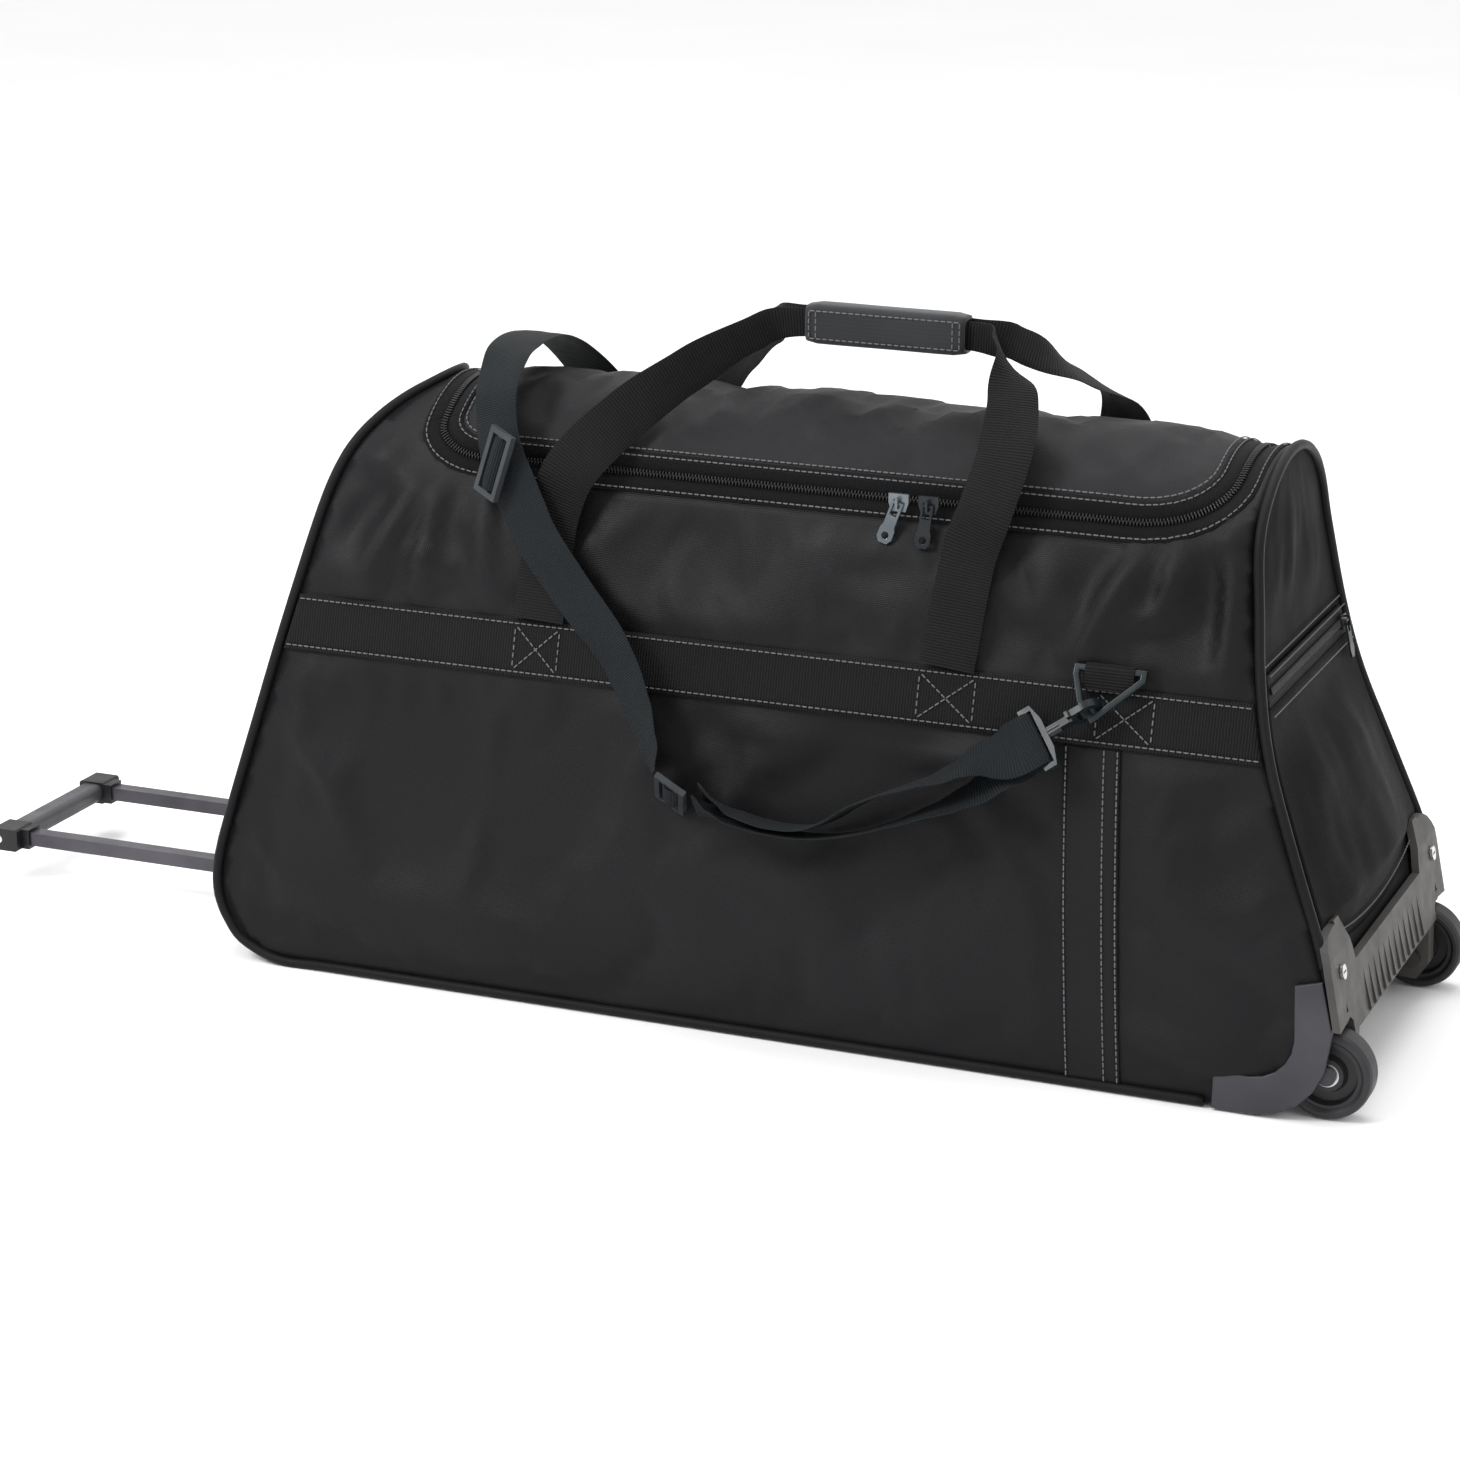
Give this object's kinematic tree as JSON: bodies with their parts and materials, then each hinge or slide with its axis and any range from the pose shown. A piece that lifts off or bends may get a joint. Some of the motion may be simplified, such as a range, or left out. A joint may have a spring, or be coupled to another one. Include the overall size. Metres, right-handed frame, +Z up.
{
  "type": "rolling duffel bag",
  "caption": "Soft-sided duffel bag on wheels with a pull-out trolley handle, paired carry handles, a zipped top and a clip-on shoulder strap.",
  "frame": {"origin": "middle of the floor under the bag, at the centre of its overall box with the trolley handle part way out", "axes": "+X along the bag towards its wheels, the trolley handle pulls out towards -X; the front panel faces -Y; +Z is up"},
  "size_m": [1.072, 0.3525, 0.479],
  "materials": {
    "body_fabric": "matt polyester, plain weave",
    "end_fabric": "matt polyester, plain weave",
    "base_fabric": "coated polyester",
    "zip_tape": "ribbed tape with coil",
    "piping": "smooth covered cord",
    "webbing": "ribbed webbing",
    "strap_webbing": "fine ribbed webbing",
    "wrap_fabric": "padded wrap",
    "black_plastic": "moulded",
    "cap_plastic": "moulded",
    "ring_metal": "black coating",
    "slider_metal": "gunmetal coating",
    "tube_metal": "dark satin coating",
    "grip_plastic": "satin",
    "zinc": "bright zinc",
    "board": "stiff board",
    "tyre": "solid tyre, satin",
    "hub_plastic": "moulded",
    "bearing_steel": "turned",
    "housing_plastic": "moulded, satin",
    "guard_plastic": "moulded, satin"
  },
  "bodies": {
    "bag": {"front_panel": "body_fabric", "back_panel": "body_fabric", "bottom_panel": "base_fabric", "left_end_panel": "end_fabric", "right_end_panel": "end_fabric", "top_gusset": "body_fabric", "body_zip_tape": "zip_tape", "left_piping": "piping", "right_piping": "piping", "webbing_belts": "webbing", "front_strip": "body_fabric", "end_pocket_panel": "end_fabric", "end_pocket_zip_tape": "zip_tape", "shoulder_strap_long": "strap_webbing", "shoulder_strap_loop": "strap_webbing", "tri_glides": "black_plastic", "d_ring_tabs": "webbing", "outer_tubes": "tube_metal", "trolley_bezel": "black_plastic", "tube_bracket": "black_plastic", "base_board": "board", "floor_panel": "board", "wheel_housing": "housing_plastic", "corner_guard_near": "guard_plastic", "corner_guard_far": "guard_plastic", "housing_screws": "zinc", "axles": "zinc"},
    "lid": {"lid_panel": "body_fabric", "lid_zip_tape": "zip_tape"},
    "front_handle": {"front_handle_strap": "webbing", "grip_wrap": "wrap_fabric"},
    "back_handle": {"back_handle_strap": "webbing"},
    "trolley": {"inner_tube_near": "tube_metal", "inner_tube_far": "tube_metal", "grip_bar": "grip_plastic", "grip_cap_near": "cap_plastic", "grip_cap_far": "cap_plastic", "grip_screws": "zinc", "tube_bushes": "black_plastic"},
    "wheel_near": {"tyre_near": "tyre", "hub_near": "hub_plastic", "bearing_near": "bearing_steel"},
    "wheel_far": {"tyre_far": "tyre", "hub_far": "hub_plastic", "bearing_far": "bearing_steel"},
    "slider_left": {"zip_slider_left": "slider_metal"},
    "slider_right": {"zip_slider_right": "slider_metal"},
    "pull_left": {"zip_pull_left": "slider_metal"},
    "pull_right": {"zip_pull_right": "slider_metal"},
    "pocket_slider": {"pocket_slider": "slider_metal"},
    "pocket_pull": {"pocket_pull": "slider_metal"},
    "ring_front": {"d_ring_front": "ring_metal"},
    "ring_back": {"d_ring_back": "ring_metal"},
    "hook_front": {"snap_hook_front": "ring_metal"},
    "hook_back": {"snap_hook_back": "ring_metal"},
    "gate_front": {"hook_gate_front": "ring_metal"},
    "gate_back": {"hook_gate_back": "ring_metal"},
    "swivel_front": {"hook_swivel_front": "ring_metal"},
    "swivel_back": {"hook_swivel_back": "ring_metal"}
  },
  "joints": [
    {"name": "lid_hinge", "type": "hinge", "parent": "bag", "child": "lid", "pos_m": [0.118, 0.0762, 0.3667], "axis": [-1, 0, 0], "range_deg": [0, 100], "deforming": ["shoulder_strap_long"]},
    {"name": "front_handle_fold", "type": "hinge", "parent": "bag", "child": "front_handle", "pos_m": [0.095, -0.116, 0.2645], "axis": [1, 0, 0], "range_deg": [0, 160]},
    {"name": "back_handle_fold", "type": "hinge", "parent": "bag", "child": "back_handle", "pos_m": [0.101, 0.116, 0.2645], "axis": [-1, 0, 0], "range_deg": [0, 160]},
    {"name": "trolley_slide", "type": "slide", "parent": "bag", "child": "trolley", "axis": [-1, 0, 0], "range_m": [-0.19, 0.33]},
    {"name": "near_wheel_spin", "type": "hinge", "parent": "bag", "child": "wheel_near", "pos_m": [0.506, -0.132, 0.03], "axis": [0, 1, 0], "continuous": true},
    {"name": "far_wheel_spin", "type": "hinge", "parent": "bag", "child": "wheel_far", "pos_m": [0.506, 0.132, 0.03], "axis": [0, 1, 0], "continuous": true},
    {"name": "left_slider_run", "type": "slide", "parent": "bag", "child": "slider_left", "axis": [-1, 0, 0], "range_m": [0, 0.12]},
    {"name": "right_slider_run", "type": "slide", "parent": "bag", "child": "slider_right", "axis": [1, 0, 0], "range_m": [0, 0.12]},
    {"name": "left_pull_swing", "type": "hinge", "parent": "slider_left", "child": "pull_left", "pos_m": [0.186, -0.086, 0.366], "axis": [-0.9511, 0, 0.309], "range_deg": [0, 150]},
    {"name": "right_pull_swing", "type": "hinge", "parent": "slider_right", "child": "pull_right", "pos_m": [0.207, -0.086, 0.366], "axis": [-0.9976, 0, 0.0698], "range_deg": [0, 150]},
    {"name": "pocket_slider_run", "type": "slide", "parent": "bag", "child": "pocket_slider", "axis": [0, -1, 0], "range_m": [0, 0.15]},
    {"name": "pocket_pull_swing", "type": "hinge", "parent": "pocket_slider", "child": "pocket_pull", "pos_m": [0.44978, 0.092, 0.26983], "axis": [0, -1, 0], "range_deg": [0, 120]},
    {"name": "ring_swing_front", "type": "hinge", "parent": "bag", "child": "ring_front", "pos_m": [0.345, -0.1155, 0.277], "axis": [-1, 0, 0], "range_deg": [0, 14], "deforming": ["shoulder_strap_loop"]},
    {"name": "hook_swing_front", "type": "hinge", "parent": "ring_front", "child": "hook_front", "pos_m": [0.3335, -0.13031, 0.25236], "axis": [-0.5888, 0.4595, 0.665], "range_deg": [0, 8]},
    {"name": "gate_press_front", "type": "hinge", "parent": "hook_front", "child": "gate_front", "pos_m": [0.32409, -0.14035, 0.25097], "axis": [-0.5888, 0.4595, 0.665], "range_deg": [0, 25], "stiffness_Nm_per_rad": 0.005, "springref_deg": -11.46},
    {"name": "swivel_turn_front", "type": "hinge", "parent": "hook_front", "child": "swivel_front", "pos_m": [0.31108, -0.13642, 0.23673], "axis": [0.8006, 0.2183, 0.558], "range_deg": [0, 12]},
    {"name": "ring_swing_back", "type": "hinge", "parent": "bag", "child": "ring_back", "pos_m": [-0.155, 0.1155, 0.277], "axis": [1, 0, 0], "range_deg": [0, 14]},
    {"name": "hook_swing_back", "type": "hinge", "parent": "ring_back", "child": "hook_back", "pos_m": [-0.1435, 0.13031, 0.25236], "axis": [0.5888, -0.4595, 0.665], "range_deg": [0, 8]},
    {"name": "gate_press_back", "type": "hinge", "parent": "hook_back", "child": "gate_back", "pos_m": [-0.13409, 0.14035, 0.25097], "axis": [0.5888, -0.4595, 0.665], "range_deg": [0, 25], "stiffness_Nm_per_rad": 0.005, "springref_deg": -11.46},
    {"name": "swivel_turn_back", "type": "hinge", "parent": "hook_back", "child": "swivel_back", "pos_m": [-0.12108, 0.13642, 0.23673], "axis": [-0.8006, -0.2183, 0.558], "range_deg": [0, 12]}
  ],
  "couplings": [
    {"joint": "front_handle_fold", "follows": "lid_hinge", "ratio": 1.6},
    {"joint": "back_handle_fold", "follows": "lid_hinge", "ratio": 1.6}
  ]
}
